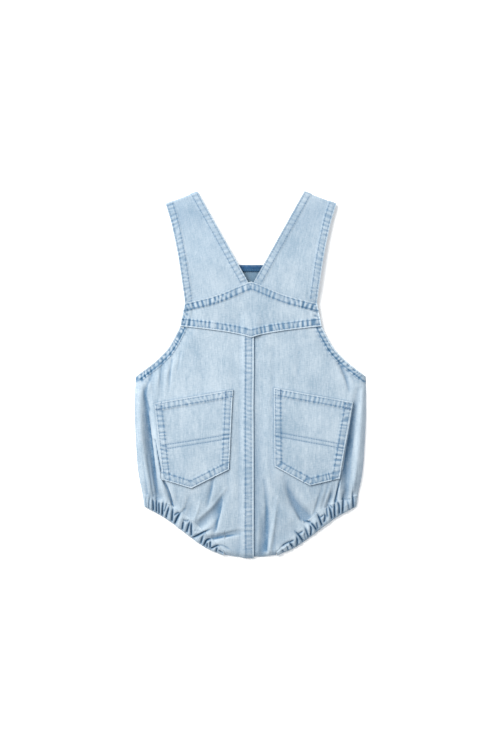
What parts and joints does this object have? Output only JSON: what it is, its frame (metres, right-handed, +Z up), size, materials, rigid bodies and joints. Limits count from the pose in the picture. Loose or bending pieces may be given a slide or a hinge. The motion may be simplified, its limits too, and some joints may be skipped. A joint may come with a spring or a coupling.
{
  "type": "baby's denim bubble dungarees",
  "caption": "Baby's short denim dungarees laid flat, back up, with wide straps, a pointed yoke, patch pockets and gathered elastic leg edges.",
  "frame": {"origin": "centre of the garment's box, on the surface that it lies on", "axes": "+Z up, away from the surface; +Y from the crotch to the shoulders; +X to the wearer's right, as the back is up"},
  "size_m": [0.266, 0.4216, 0.011],
  "materials": {
    "denim": "light washed denim, matt",
    "denim_inside": "inside of washed denim, matt",
    "denim_hem": "darker turned hem, matt",
    "casing": "gathered washed denim, matt",
    "button": "satin"
  },
  "bodies": {
    "root": {"back_panel_left": "denim", "back_panel_right": "denim", "back_yoke": "denim", "front_panel": "denim_inside", "bib_hem": "denim_hem", "strap_left": "denim", "strap_right": "denim", "pocket_left": "denim", "pocket_right": "denim", "leg_casing_back_left": "casing", "leg_casing_back_right": "casing", "leg_casing_front_left": "casing", "leg_casing_front_right": "casing", "button_left": "button", "button_right": "button"}
  },
  "joints": []
}
